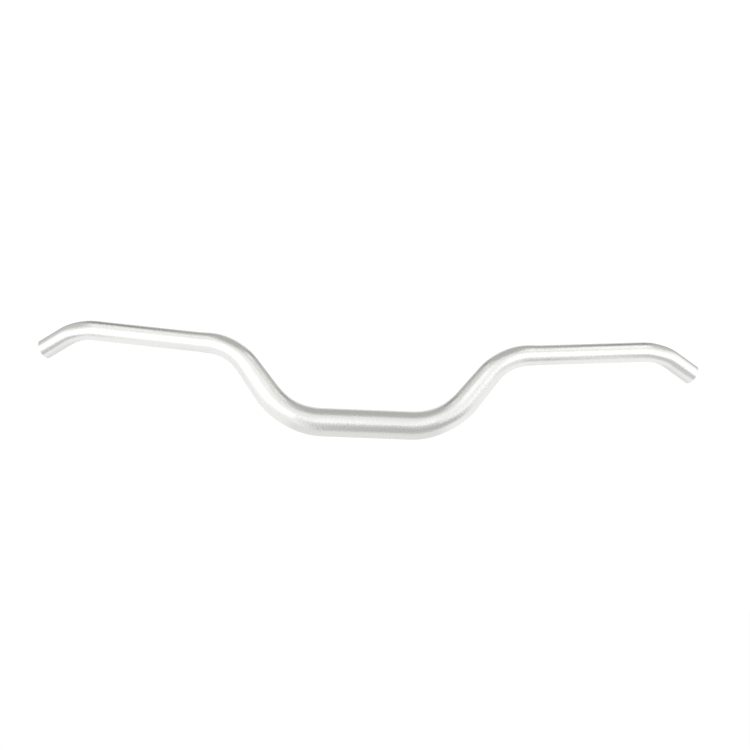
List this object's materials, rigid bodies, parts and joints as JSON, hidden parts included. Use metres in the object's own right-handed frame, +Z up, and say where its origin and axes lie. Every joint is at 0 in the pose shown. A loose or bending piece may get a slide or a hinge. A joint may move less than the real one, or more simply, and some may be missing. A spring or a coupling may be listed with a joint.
{
  "type": "bicycle handlebar",
  "caption": "Rise handlebar bent from one butted aluminium tube, with a stem clamp section, raised arms swept towards the rider and short dropped ends.",
  "frame": {"origin": "centre of the stem clamp section, on the tube's axis", "axes": "+X along the clamp section, +Y towards the rider, +Z up with the bar upright in its stem"},
  "size_m": [0.744, 0.083, 0.1195],
  "materials": {
    "blasted_aluminium": "fine bead blast under clear silver anodising"
  },
  "bodies": {
    "root": {"handlebar": "blasted_aluminium"}
  },
  "joints": []
}
